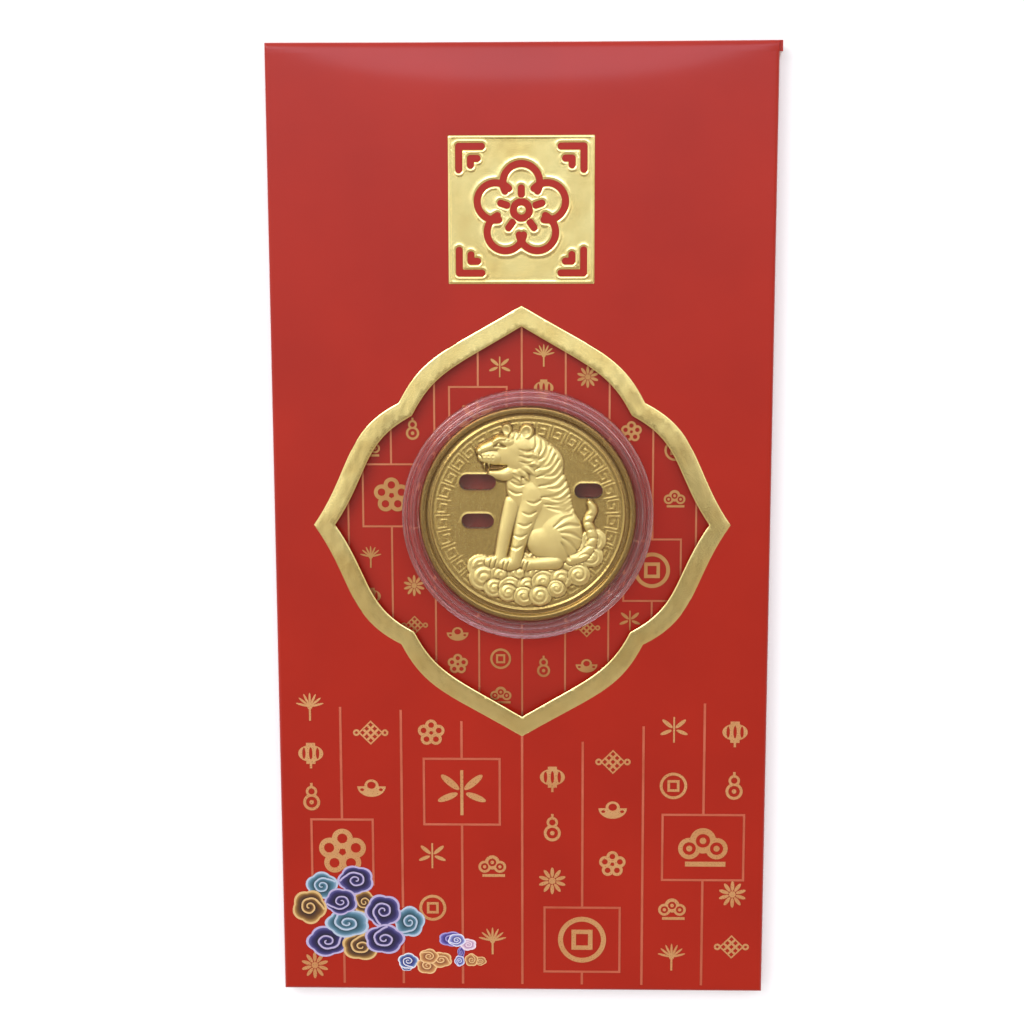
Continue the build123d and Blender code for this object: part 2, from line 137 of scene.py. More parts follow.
# Camera and light
camera_place = (4.7, 45.4, 296.9)
camera_turn = (7.81, -1.26, 0.04)
camera_lens = 56.25
camera_sensor = 36.0
camera_near = 10.0
floor_size = 6000.0
floor_gap = 0.02
floor_shade = 0.8
floor_glow = 0.2
key_place = (-520.0, 560.0, 700.0)
key_size = 450.0
key_power = 3.4
# Colours of the dome towards the flap end: where each one starts and ends to take over
sky_tilt = -0.25
sky_foot = (0.58, 0.49, 0.42)
sky_steps = (
    (-0.10, -0.06, (1.44, 1.41, 1.34)),
    (-0.015, 0.02, (0.60, 0.59, 0.57)),
    (0.03, 0.13, (1.18, 1.18, 1.19)),
)
horizon_edge = (0.2, 0.5)
horizon_colour = (1.0, 1.0, 1.0)
# Bright and dim patch of the dome: where their edges fade, and the middle, reach and colour of each
patch_edge = (0.75, 1.15)
sky_patches = (
    ((0.0, 0.38, 0.0), (1 / 0.45, 1 / 0.14, 0.0), (3.50, 3.72, 4.60)),
    ((0.0, -0.15, 0.0), (1 / 0.13, 1 / 0.095, 0.0), (0.33, 0.29, 0.24)),
)


def node_box(node):
    """Lowest and highest corner of a CAD node, in millimetres."""
    low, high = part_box(node)
    return np.array(low) * metre, np.array(high) * metre


front_low, front_high = node_box("front_panel")
card_thickness = front_high[2] - front_low[2]
front_z = front_high[2]
mouth_y = front_high[1]
foot_y = front_low[1]
fold_low, fold_high = node_box("flap_fold")
half_width = -fold_low[0]
foot_low, foot_high = node_box("bottom_flap")
coin_low, coin_high = node_box("coin")
coin_middle = (coin_low + coin_high)[:2] / 2
coin_radius = (coin_high - coin_low)[0] / 2
coin_field = coin_low[2] + coin_field_thickness


def ink(red, green, blue):
    """Linear colour from a screen colour of 0 to 255."""
    shares = np.array([red, green, blue]) / 255
    linear = np.where(shares > 0.04045, ((shares + 0.055) / 1.055) ** 2.4, shares / 12.92)
    return (*linear.tolist(), 1.0)


def smooth(value, low, high):
    """0 below low, 1 above high, and an easy rise between them."""
    share = np.clip((value - low) / (high - low), 0, 1)
    return share * share * (3 - 2 * share)


def arch(share):
    """Height of half a circle: 1 in its middle, 0 from its ends on."""
    return np.sqrt(np.clip(1 - share * share, 0, None))


def add_node(tree, kind, inputs, **settings):
    """New shader node. Each input is a number, a colour or another node's socket.

    The functions below find the node tree by their first socket.
    """
    node = tree.nodes.new("ShaderNode" + kind)
    for name, value in settings.items():
        setattr(node, name, value)
    set_inputs(node, inputs)
    return node


def set_inputs(node, inputs):
    for name, value in inputs.items():
        if isinstance(value, bpy.types.NodeSocket):
            node.id_data.links.new(value, node.inputs[name])
        else:
            node.inputs[name].default_value = value


def new_material(name):
    """Material with its shader and the place on the object."""
    material = bpy.data.materials.new(name)
    material.use_nodes = True
    tree = material.node_tree
    place = add_node(tree, "TexCoord", {}).outputs["Object"]
    return material, tree.nodes["Principled BSDF"], place


def stretched(place, stretch):
    return add_node(place.id_data, "Mapping", {"Vector": place, "Scale": stretch}).outputs[0]


def noise(place, scale, detail=2.0):
    settings = {"Vector": place, "Scale": scale, "Detail": detail}
    return add_node(place.id_data, "TexNoise", settings).outputs["Fac"]


def ranged(value, low, high, least=0.0, most=1.0):
    """Value from low to high, taken to least to most."""
    inputs = {"Value": value, 1: low, 2: high, 3: least, 4: most}
    return add_node(value.id_data, "MapRange", inputs).outputs[0]


def blended(share, first, second):
    """First colour, turned towards the second by a share."""
    inputs = {0: share, 6: first, 7: second}
    return add_node(share.id_data, "Mix", inputs, data_type="RGBA").outputs[2]


def maths(operation, *values):
    inputs = dict(enumerate(values))
    return add_node(values[0].id_data, "Math", inputs, operation=operation).outputs[0]


def vector_maths(operation, *values):
    inputs = dict(enumerate(values))
    return add_node(values[0].id_data, "VectorMath", inputs, operation=operation)


def bumped(height, strength, distance, under=None):
    """Normal of a surface with small unevenness. Distance is in millimetres."""
    inputs = {"Height": height, "Strength": strength, "Distance": distance / metre}
    if under is not None:
        inputs["Normal"] = under
    return add_node(height.id_data, "Bump", inputs).outputs[0]


def painted(material, name):
    """Values that the mesh has at its points."""
    return add_node(material.node_tree, "Attribute", {}, attribute_name=name)


def inner_side(place):
    """1 on the flat sides of the sheet that look into the envelope, 0 elsewhere."""
    middle = (0, 0, front_z / 2 / metre)
    lean = (0.02, 0.02, 1.0)
    normal = add_node(place.id_data, "TexCoord", {}).outputs["Normal"]
    offset = vector_maths("SUBTRACT", place, middle).outputs[0]
    weighed = vector_maths("MULTIPLY", offset, lean).outputs[0]
    outwards = vector_maths("DOT_PRODUCT", weighed, normal).outputs["Value"]
    inwards = maths("LESS_THAN", outwards, 0.0)
    upright = add_node(place.id_data, "SeparateXYZ", {0: normal}).outputs["Z"]
    flat = maths("GREATER_THAN", maths("ABSOLUTE", upright), 0.5)
    return maths("MULTIPLY", inwards, flat)


def card_material(name, red, deep_red, pale_inside):
    """Satin red card with fine fibres along its width. The sheet's inner side is pale."""
    material, shader, place = new_material(name)
    mottle = noise(place, 55.0, 3.0)
    fibre = noise(stretched(place, (0.18, 1.0, 1.0)), 2600.0, 3.0)
    grain = noise(place, 5200.0, 2.0)
    colour = blended(ranged(mottle, 0.3, 0.7), red, deep_red)
    colour = blended(ranged(fibre, 0.25, 0.75, 0.0, 0.12), colour, deep_red)
    if pale_inside:
        flecks = ranged(grain, 0.3, 0.7)
        pale = blended(flecks, ink(232, 226, 216), ink(214, 206, 194))
        colour = blended(inner_side(place), colour, pale)
    set_inputs(shader, {
        "Base Color": colour,
        "Roughness": ranged(fibre, 0.2, 0.8, 0.28, 0.32),
        "Specular IOR Level": 0.36,
        "Normal": bumped(fibre, 0.05, 0.05, bumped(mottle, 0.25, 0.12)),
    })
    return material


def foil_material(name, bright, deep, roughness, pillow):
    """Stamped gold foil: slightly uneven, with fine grain from the card below."""
    material, shader, place = new_material(name)
    cloudy = noise(place, 140.0, 3.0)
    grain = noise(place, 3800.0, 2.0)
    waves = noise(stretched(place, (1.3, 0.7, 1.0)), 170.0, 2.0)
    tone = ranged(cloudy, 0.35, 0.75)
    set_inputs(shader, {
        "Base Color": blended(tone, bright, deep),
        "Metallic": 1.0,
        "Roughness": ranged(grain, 0.25, 0.75, roughness - 0.06, roughness + 0.08),
        "Normal": bumped(grain, 0.03, 0.03, bumped(waves, pillow, 0.4)),
    })
    return material


def cloud_material():
    """Printed inks: each point's colour, with the print's fine grain."""
    material, shader, place = new_material("cloud_ink")
    grain = noise(place, 4200.0, 2.0)
    colour = painted(material, "ink").outputs["Color"]
    shade = ranged(grain, 0.3, 0.7, 0.0, 0.14)
    set_inputs(shader, {
        "Base Color": blended(shade, colour, ink(60, 60, 80)),
        "Roughness": ranged(grain, 0.3, 0.7, 0.36, 0.5),
        "Specular IOR Level": 0.4,
        "Normal": bumped(grain, 0.05, 0.03),
    })
    return material


def coin_material():
    """Gold plate: polished field, frosted relief, and painted shade that darkens the hollows and the rim
    band.
    """
    material, shader, place = new_material("coin_gold")
    frost = painted(material, "frost").outputs["Fac"]
    painted_shade = painted(material, "painted_shade").outputs["Fac"]
    grain = noise(place, 5200.0, 2.0)
    cloudy = noise(place, 220.0, 3.0)
    brushed = noise(stretched(place, (1.0, 0.06, 1.0)), 3600.0, 2.0)
    field = blended(brushed, ink(177, 152, 84), ink(200, 177, 111))
    plate = blended(frost, field, ink(233, 215, 142))
    plate = blended(ranged(cloudy, 0.35, 0.75, 0.0, 0.25), plate, ink(190, 160, 92))
    # Painted shade: dark brown gold in the relief's hollows and on the rim band
    plate = blended(painted_shade, plate, ink(104, 70, 32))
    polish = ranged(frost, 0.0, 1.0, 0.22, 0.38)
    polish = maths("ADD", polish, ranged(grain, 0.25, 0.75, -0.03, 0.07))
    set_inputs(shader, {
        "Base Color": plate,
        "Metallic": 1.0,
        "Roughness": polish,
        "Normal": bumped(grain, 0.08, 0.03, bumped(brushed, 0.06, 0.03)),
    })
    return material


def clear_material(name, tint, deep_tint, haze_range, clearness, bending):
    """Clear plastic. Light from lamps passes it, so that what lies under it is lit."""
    material, shader, place = new_material(name)
    haze = ranged(noise(place, 900.0, 3.0), 0.35, 0.75)
    set_inputs(shader, {
        "Base Color": blended(haze, tint, deep_tint),
        "Roughness": ranged(haze, 0.0, 1.0, *haze_range),
        "IOR": bending,
        "Transmission Weight": clearness,
    })
    tree = material.node_tree
    path = add_node(tree, "LightPath", {})
    lit = add_node(tree, "BsdfTransparent", {"Color": tint})
    surface = add_node(tree, "MixShader", {
        0: path.outputs["Is Shadow Ray"],
        1: shader.outputs[0],
        2: lit.outputs[0],
    })
    tree.links.new(surface.outputs[0], tree.nodes["Material Output"].inputs["Surface"])
    return material


def adhesive_material(name, pale, deep, scale, polish, shine, cover, bump):
    """Adhesive film or dried glue: pale, with small lumps."""
    material, shader, place = new_material(name)
    lumps = noise(place, scale, 3.0)
    set_inputs(shader, {
        "Base Color": blended(lumps, pale, deep),
        "Roughness": ranged(lumps, 0.3, 0.7, *polish),
        "Specular IOR Level": shine,
        "Alpha": cover,
        "Normal": bumped(lumps, bump, 0.1),
    })
    return material


def add_object(name, data):
    """New object in the scene."""
    thing = bpy.data.objects.new(name, data)
    bpy.context.scene.collection.objects.link(thing)
    return thing


def add_piece(name, points, faces, material, replaces, sharp=40.0, attributes=None):
    """Mesh piece that stands for CAD nodes. It has still to ride on a body."""
    mesh = bpy.data.meshes.new(name)
    mesh.from_pydata((np.asarray(points) / metre).tolist(), [], [list(map(int, face)) for face in faces])
    mesh.shade_smooth()
    mesh.set_sharp_from_angle(angle=radians(sharp))
    mesh.materials.append(material)
    for key, values in (attributes or {}).items():
        values = np.asarray(values, np.float32)
        if values.ndim == 1:
            mesh.attributes.new(key, "FLOAT", "POINT").data.foreach_set("value", values)
        else:
            mesh.attributes.new(key, "FLOAT_COLOR", "POINT").data.foreach_set("color", values.ravel())
    piece = add_object(name, mesh)
    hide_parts(*replaces)
    return piece


def outlines(node, side=1):
    """Loops round a node's flat top (side 1) or underside (side -1), with the node on their left."""
    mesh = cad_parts[node].data
    mesh.calc_loop_triangles()
    places = np.array([vertex.co for vertex in mesh.vertices]) * metre
    level = (side * places[:, 2]).max()
    edges = set()
    for triangle in mesh.loop_triangles:
        corners = places[list(triangle.vertices)]
        if np.abs(side * corners[:, 2] - level).max() < card_thickness / 100:
            keys = [tuple(corner) for corner in corners[:, :2].round(4).tolist()][::side]
            edges.update(zip(keys, keys[1:] + keys[:1]))
    ahead = {a: b for a, b in edges if (b, a) not in edges}
    loops = []
    while ahead:
        start, point = min(ahead.items())
        del ahead[start]
        loop = [start]
        while point != start:
            loop.append(point)
            point = ahead.pop(point)
        loops.append(np.array(loop))
    return loops


def sides(loops):
    """Straight sides of closed loops, each as its two ends."""
    for loop in loops:
        yield from zip(loop, np.roll(loop, -1, 0))


def divided(loop, step):
    """Loop with points added where two neighbours are further apart than a step."""
    points = []
    for a, b in sides([loop]):
        count = max(1, int(np.ceil(np.hypot(*(b - a)) / step)))
        points.extend(a + (b - a) * i / count for i in range(count))
    return np.array(points)


def inside(points, loops):
    """Whether each point lies in the area between the loops."""
    crossings = np.zeros(len(points), int)
    for (x0, y0), (x1, y1) in sides(loops):
        if y0 != y1:
            level = (y0 > points[:, 1]) != (y1 > points[:, 1])
            crossing = x0 + (points[:, 1] - y0) * (x1 - x0) / (y1 - y0)
            crossings += level & (points[:, 0] < crossing)
    return crossings % 2 == 1


def line_share(points, a, b):
    """Where the straight line from a to b is nearest to each point, as a share, and how near."""
    along = b - a
    share = np.clip((points - a) @ along / max(along @ along, 1e-12), 0, 1)
    return share, np.hypot(*(points - a - share[:, None] * along).T)


def rim_distance(points, loops):
    """Distance of each point to the nearest loop."""
    least = np.full(len(points), np.inf)
    for a, b in sides(loops):
        least = np.minimum(least, line_share(points, a, b)[1])
    return least


def lattice(loops, step, clear):
    """Staggered grid of points between the loops, kept clear of them."""
    corners = np.concatenate(loops)
    low, high = corners.min(0), corners.max(0)
    rows = np.arange(low[1], high[1], step)
    columns = np.arange(low[0], high[0], step)
    points = np.stack(np.meshgrid(columns, rows), -1)
    points[1::2, :, 0] += step / 2
    points = points.reshape(-1, 2)
    points = points[inside(points, loops)]
    return points[rim_distance(points, loops) > clear]


def rim_rows(loops, offsets):
    """Rows of points beside the loops, inside them, at some distances."""
    kept = []
    for loop in loops:
        along = np.roll(loop, -1, 0) - np.roll(loop, 1, 0)
        inwards = np.stack([-along[:, 1], along[:, 0]], 1) / np.hypot(*along.T)[:, None]
        for offset in offsets:
            points = loop + offset * inwards
            points = points[inside(points, loops)]
            kept.append(points[rim_distance(points, loops) > offset * 0.85])
    return np.concatenate(kept)


def triangulated(loops, inner):
    """Points and triangles of the area between loops. The loops' points come first."""
    edges = []
    start = 0
    for loop in loops:
        ring = start + np.arange(len(loop))
        edges += np.column_stack([ring, np.roll(ring, -1)]).tolist()
        start += len(loop)
    given = [Vector(point) for point in np.concatenate([*loops, inner])]
    points, _, faces, *_ = delaunay_2d_cdt(given, edges, [], 0, 1e-6)
    points = np.array([point[:] for point in points])
    faces = np.array(faces)
    return points, faces[inside(points[faces].mean(1), loops)]


def strip(first, second, closed=False):
    """Four-sided faces between two rows of points, or between two closed rings."""
    if closed:
        first = np.append(first, first[0])
        second = np.append(second, second[0])
    return list(zip(first[:-1], first[1:], second[1:], second[:-1]))


def fan(middle, ring):
    """Triangles from a middle point to a closed ring."""
    return [(middle, a, b) for a, b in zip(ring, np.roll(ring, -1))]


def closed_plate(loops, upper, top, lower, under):
    """Closed solid between two triangulated areas with the same loops, at given heights."""
    points = np.concatenate([np.column_stack([upper[0], top]), np.column_stack([lower[0], under])])
    below = len(upper[0])
    faces = upper[1].tolist() + (lower[1][:, ::-1] + below).tolist()
    start = 0
    for loop in loops:
        ring = start + np.arange(len(loop))
        faces += strip(ring + below, ring, True)
        start += len(loop)
    return points, faces


def front_height(x, y):
    """Height of the envelope's front, which leans back towards the mouth."""
    bow = np.clip(1 - np.abs(x / half_width) ** lens_power, 0, 1)
    past = y - (fold_high[1] - lens_reach * bow)
    return front_z - lens_slope * bow ** 0.3 * (past + np.hypot(past, lens_crease)) / 2


def front_sheet(material):
    """Front of the envelope with its window, leaning back near the mouth."""
    loops = [divided(loop, rim_step) for loop in outlines("front_panel")]
    wide = lattice(loops, sheet_step, sheet_step / 2)
    close = lattice(loops, lens_step, lens_step / 2)
    lens_foot = mouth_y - lens_reach - sheet_step
    inner = np.concatenate([wide[wide[:, 1] < lens_foot], close[close[:, 1] >= lens_foot]])
    sheet = triangulated(loops, inner)
    top = front_height(*sheet[0].T)
    points, faces = closed_plate(loops, sheet, top, sheet, top - card_thickness)
    piece = add_piece("front_sheet", points, faces, material, ["front_panel"])
    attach(piece, "envelope")


def bent_sheet(name, across, lines, material, node):
    """Closed sheet from its outer lines round a fold. A point is its place across, along and up."""
    lines = np.array(lines)
    along = np.gradient(lines, axis=1)
    inwards = np.stack([along[..., 1], -along[..., 0]], -1)
    inner = lines + card_thickness * inwards / np.hypot(*inwards.T).T[..., None]
    drop = end_drop(across)
    lines[..., 1] = np.clip(lines[..., 1], drop, front_z - drop)
    inner[..., 1] = np.clip(inner[..., 1], drop + card_thickness, front_z - drop - card_thickness)
    slices, count = across.shape
    upper = np.arange(slices * count).reshape(slices, count)
    under = upper + upper.size
    faces = strip(under[:, 0], upper[:, 0]) + strip(upper[:, -1], under[:, -1])
    faces += strip(upper[0], under[0]) + strip(under[-1], upper[-1])
    for i in range(slices - 1):
        faces += strip(upper[i + 1], upper[i]) + strip(under[i], under[i + 1])
    points = [np.column_stack([across.ravel(), sheet.reshape(-1, 2)]) for sheet in (lines, inner)]
    return add_piece(name, np.concatenate(points), faces, material, [node])


def end_drop(across):
    """How far a fold's end stays below the front and above the ground, as the side folds do."""
    past = np.clip((np.abs(across) - half_width) / fold_radius + 1, 0, 1)
    return fold_radius * (1 - arch(past))


def fold_places(low, high):
    """Places along a fold, closer together at its rounded ends."""
    turns = np.linspace(0, pi / 2, fold_end_slices)
    ends = fold_radius * (1 - np.sin(turns))
    middle = np.linspace(low + fold_radius, high - fold_radius, fold_slices)
    return np.unique(np.concatenate([low + ends, middle, high - ends]).round(4))


def mouth_line(x):
    """Outer line of the fold over the mouth at one place along it."""
    end = fold_high[1]
    crease_y = end - front_z / 2
    half = front_height(x, mouth_y) / 2
    turn = np.linspace(0, pi / 2, fold_steps)
    along = mouth_y + (end - mouth_y) * np.sin(turn) ** (2 / fold_squareness)
    bend = np.cos(turn) ** (2 / fold_squareness)
    upper = np.column_stack([along, half + (front_height(x, along) - half) * bend])
    lower = np.column_stack([crease_y + (end - crease_y) * np.cos(turn), half * (1 - np.sin(turn))])
    return np.concatenate([upper, lower[1:], [[mouth_y, 0.0]]])


def mouth_fold(material):
    """Fold over the mouth: goes on from the front and bends with the front crease."""
    places = fold_places(fold_low[0], fold_high[0])
    lines = [mouth_line(x) for x in places]
    across = np.repeat(places[:, None], len(lines[0]), 1)
    piece = bent_sheet("mouth_fold", across, lines, material, "flap_fold")
    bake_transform(piece)


def foot_fold(material):
    """Fold round the foot, with its tapered flap glued up over the back."""
    end = foot_low[1]
    tip = foot_high[1]
    turn = np.linspace(0, pi / 2, fold_steps)
    arc = end + fold_radius * (1 - np.sin(turn))
    rise = fold_radius * (1 - np.cos(turn))
    flap = np.column_stack([np.linspace(tip, foot_y, fold_steps), np.zeros(fold_steps)])
    lower = np.column_stack([arc, rise])
    upper = np.column_stack([arc, front_z - rise])[::-1]
    line = np.concatenate([flap, lower[1:], upper[:-1], [[foot_y, front_z]]])
    places = fold_places(-half_width, half_width)
    past = np.where(np.arange(len(line)) < fold_steps, (line[:, 0] - foot_y) / foot_flap_length, 0)
    width = 1 - past * foot_flap_taper / half_width
    across = places[:, None] * width
    lines = np.repeat(line[None], len(places), 0)
    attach(bent_sheet("foot_fold", across, lines, material, "bottom_flap"), "envelope")


def embossed(node, name, offsets, step, profile, material):
    """Foil of a CAD node's outline, raised by a profile of the distance to its edge."""
    loops = [divided(loop, step) for loop in outlines(node)]
    low = node_box(node)[0][2]
    rows = [rim_rows(loops, offsets), lattice(loops, step, max(offsets) + step / 3)]
    upper = triangulated(loops, np.concatenate(rows))
    lower = triangulated(loops, np.zeros((0, 2)))
    top = low + profile(rim_distance(upper[0], loops))
    points, faces = closed_plate(loops, upper, top, lower, np.full(len(lower[0]), low))
    piece = add_piece(name, points, faces, material, [node], sharp=60.0)
    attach(piece, "envelope")


def round_edge(distance, width):
    """0 at an edge, 1 past its rounded width."""
    return arch(1 - np.clip(distance / width, 0, 1))


def square_profile(distance):
    """Rounded edge, a raised lip along it and a flat field."""
    edge = round_edge(distance, square_edge)
    lip = np.exp(-((distance - square_lip_place) / square_lip_width) ** 2)
    return foil_foot + square_height * edge + square_lip * lip * edge


def border_profile(distance):
    return foil_foot + border_height * round_edge(distance, border_edge)


# Puffs from back to front: middle, half width and height, ink, and the spiral's start and turn
large_puffs = (
    (-30.3, -71.4, 2.2, 2.3, "gold", 150, 1), (-31.9, -67.0, 3.5, 2.9, "indigo", 185, -1),
    (-38.4, -68.2, 3.1, 2.8, "teal", 20, 1), (-21.7, -75.3, 3.0, 3.1, "teal", 230, 1),
    (-37.6, -79.3, 4.0, 3.1, "indigo", 40, -1), (-31.0, -80.3, 3.8, 2.8, "gold", 80, 1),
    (-33.6, -75.6, 4.3, 2.9, "teal", 110, 1), (-34.8, -71.3, 3.2, 2.7, "indigo", 190, 1),
    (-40.9, -72.4, 3.3, 3.4, "gold", 350, 1), (-26.7, -73.1, 3.5, 3.3, "indigo", 260, -1),
    (-26.5, -78.8, 3.9, 3.0, "indigo", 80, 1),
)
small_puffs = (
    (-8.1, -83.1, 1.2, 0.9, "straw", 200, 1), (-9.8, -82.9, 1.3, 1.3, "straw", 90, -1),
    (-22.3, -84.6, 1.1, 0.6, "blue", 20, 1), (-22.0, -83.2, 2.0, 1.6, "blue", 300, -1),
    (-18.3, -84.1, 2.1, 1.7, "straw", 10, 1), (-15.7, -82.9, 2.2, 1.6, "straw", 330, 1),
    (-18.0, -82.2, 1.9, 1.5, "straw", 150, -1), (-13.7, -78.7, 2.4, 1.5, "violet", 0, 1),
    (-11.8, -81.4, 0.7, 1.2, "violet", 90, 1), (-12.1, -83.1, 1.0, 1.1, "white", 260, -1),
    (-10.4, -79.8, 1.6, 1.2, "pink", 180, -1), (-12.6, -78.9, 1.7, 1.3, "white", 200, 1),
)
# Inks of a puff: its lines, and its fill from beside a line to the next line inwards
puff_inks = {
    "indigo": ((180, 168, 204), (92, 88, 146), (42, 34, 88), (14, 9, 34)),
    "teal": ((176, 190, 208), (130, 160, 184), (74, 116, 136), (20, 58, 68)),
    "gold": ((214, 176, 116), (176, 136, 70), (104, 68, 28), (42, 18, 6)),
    "straw": ((232, 190, 134), (206, 158, 98), (180, 122, 70), (128, 70, 36)),
    "blue": ((226, 222, 230), (140, 174, 190), (74, 90, 156), (30, 26, 84)),
    "violet": ((164, 152, 206), (124, 116, 186), (82, 72, 150), (42, 32, 96)),
    "white": ((222, 222, 236), (180, 186, 220), (122, 128, 188), (58, 50, 114)),
    "pink": ((234, 210, 218), (230, 222, 230), (210, 184, 202), (160, 116, 154)),
}


def spiral_reach(share):
    """Distance of a puff's spiral from the middle, from the outline inwards."""
    return 0.05 + 0.60 * (1 - share) ** 0.85 + 0.32 * np.exp(-share / 0.05)


def puff_place(puff, reach, angle):
    """Place in a puff with a scalloped outline."""
    x, y, half_length, half_height, _, start, _ = puff
    lobes = puff_scallop * (np.abs(np.cos(puff_lobes * (angle - radians(start)) / 2)) - 0.8)
    radius = reach * (1 + lobes * reach)
    across = half_length * radius * np.cos(angle)
    up = half_height * radius * np.sin(angle)
    return np.column_stack([x + across, y + up])


def puff_fill(puff, reach, angles):
    """Colours on one ring of a puff: pale inside each line, then darker up to the next line."""
    start, winding = puff[5:]
    _, light, middle, dark = [np.array(ink(*colour)) for colour in puff_inks[puff[4]]]
    turns = (winding * (angles - radians(start)) / (2 * pi)) % 1
    outer = np.ones(len(angles))
    inner = np.zeros(len(angles))
    for whole in range(int(spiral_turns) + 1):
        share = (turns + whole) / spiral_turns
        arm = np.where(share <= 1, spiral_reach(np.minimum(share, 1)), 0)
        outer = np.where((arm >= reach) & (arm < outer), arm, outer)
        inner = np.where((arm < reach) & (arm > inner), arm, inner)
    depth = ((outer - reach) / (outer - inner))[:, None]
    near = light + (middle - light) * np.clip(depth / fill_pale_share, 0, 1)
    return near + (dark - near) * np.clip((depth - fill_pale_share) / fill_dark_share, 0, 1)


def puff_disc(puff, size, rings, angles, inks, high):
    """Scalloped disc with colours at each ring, and a wall down to the card."""
    level = np.full(puff_points, high)
    rows = [np.column_stack([puff_place(puff, size * ring, angles), level]) for ring in rings]
    rows.append(rows[-1] * (1, 1, 0) + (0, 0, front_z))
    middle = np.array([[*puff[:2], high]])
    points = np.concatenate([*rows, middle, middle * (1, 1, 0) + (0, 0, front_z)])
    inks = np.concatenate([*inks, inks[-1], inks[0][:1], inks[0][:1]])
    order = np.arange(len(rows) * puff_points).reshape(-1, puff_points)
    faces = fan(order.size, order[0]) + fan(order.size + 1, order[-1][::-1])
    for inner, outer in zip(order[:-1], order[1:]):
        faces += strip(outer, inner, True)
    return points, faces, inks


def puff_spiral(puff, colour, high):
    """Tapered stroke that winds from the outline in to the middle of a puff."""
    share = np.linspace(0, 1, spiral_points)
    start, winding = puff[5:]
    angles = radians(start) + winding * 2 * pi * spiral_turns * share
    line = puff_place(puff, puff_outline_share * spiral_reach(share), angles)
    along = np.gradient(line, axis=0)
    across = np.column_stack([-along[:, 1], along[:, 0]]) / np.hypot(*along.T)[:, None]
    width = (puff[2] + puff[3]) / 2 * spiral_half_width * (1 - 0.35 * share)
    rows = []
    for side, height in ((1, high), (-1, high), (-1, front_z), (1, front_z)):
        level = np.full(spiral_points, height)
        rows.append(np.column_stack([line + side * across * width[:, None], level]))
    order = np.arange(4 * spiral_points).reshape(4, spiral_points)
    faces = [order[::-1, 0], order[:, -1]]
    for row, next_row in zip(order, np.roll(order, -1, 0)):
        faces += strip(next_row, row)
    return np.concatenate(rows), faces, np.tile(colour, (order.size, 1))


def clouds(material):
    """Printed clouds: scalloped puffs with pale lines and spirals, each over the one before."""
    rings = np.linspace(0, 1, puff_rings + 1)[1:]
    angles = np.linspace(0, 2 * pi, puff_points, endpoint=False)
    layers = []
    for puffs in (large_puffs, small_puffs):
        height = node_box("foil_rules")[1][2]
        for puff in puffs:
            line = ink(*puff_inks[puff[4]][0])
            outline = [np.tile(line, (puff_points, 1))]
            fill = [puff_fill(puff, ring, angles) for ring in rings]
            layers.append(puff_disc(puff, 1, rings[-1:], angles, outline, height + ink_step))
            layers.append(puff_disc(puff, puff_outline_share, rings, angles, fill, height + 2 * ink_step))
            layers.append(puff_spiral(puff, line, height + 3 * ink_step))
            height += 3 * ink_step
    faces = []
    start = 0
    for points, layer_faces, _ in layers:
        faces.extend([start + index for index in face] for face in layer_faces)
        start += len(points)
    points = np.concatenate([layer[0] for layer in layers])
    inks = np.concatenate([layer[2] for layer in layers])
    nodes = ["cloud_print"]
    piece = add_piece("printed_clouds", points, faces, material, nodes, 40.0, {"ink": inks})
    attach(piece, "envelope")


def rounded(corners, steps=6):
    """Line with rounded right-angled corners. A corner is its radius, its height and its rounding."""
    places = np.array([corner[:2] for corner in corners])
    line = [places[0]]
    for i in range(1, len(corners) - 1):
        here = places[i]
        back = (places[i - 1] - here) / np.hypot(*(places[i - 1] - here))
        onward = (places[i + 1] - here) / np.hypot(*(places[i + 1] - here))
        for turn in np.linspace(0, pi / 2, steps):
            line.append(here + corners[i][2] * (back * (1 - sin(turn)) + onward * (1 - cos(turn))))
    line.append(places[-1])
    full = [line[0]]
    for a, b in zip(line[:-1], line[1:]):
        length = np.hypot(*(b - a))
        if length > 4 * turned_margin:
            full.append(a + (b - a) * turned_margin / length)
            full.append(b - (b - a) * turned_margin / length)
        full.append(b)
    return np.array(full)


def turned(name, corners, body, plate, rim, node):
    """Round piece about the coin's axis, from a line that starts and ends on the axis."""
    line = rounded(corners)
    angles = np.linspace(0, 2 * pi, turned_sides, endpoint=False)
    ring = np.column_stack([np.cos(angles), np.sin(angles)])
    rows = []
    for radius, z in line[1:-1]:
        rows.append(np.column_stack([coin_middle + radius * ring, np.full(turned_sides, z)]))
    points = np.concatenate([*rows, [[*coin_middle, line[0][1]]], [[*coin_middle, line[-1][1]]]])
    order = np.arange(len(rows) * turned_sides).reshape(-1, turned_sides)
    faces = fan(order.size, order[0][::-1]) + fan(order.size + 1, order[-1])
    for row, next_row in zip(order[:-1], order[1:]):
        faces += strip(row, next_row, True)
    piece = add_piece(name, points, faces, plate, [node], 50.0)
    piece.data.materials.append(rim)
    # The ring beyond the coin gets the rim material, whose pink tint is painted colour for the red card
    # seen through it
    for face in piece.data.polygons:
        reach = np.hypot(*(np.array(face.center[:2]) * metre - coin_middle))
        face.material_index = int(reach > coin_radius)
    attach(piece, body)


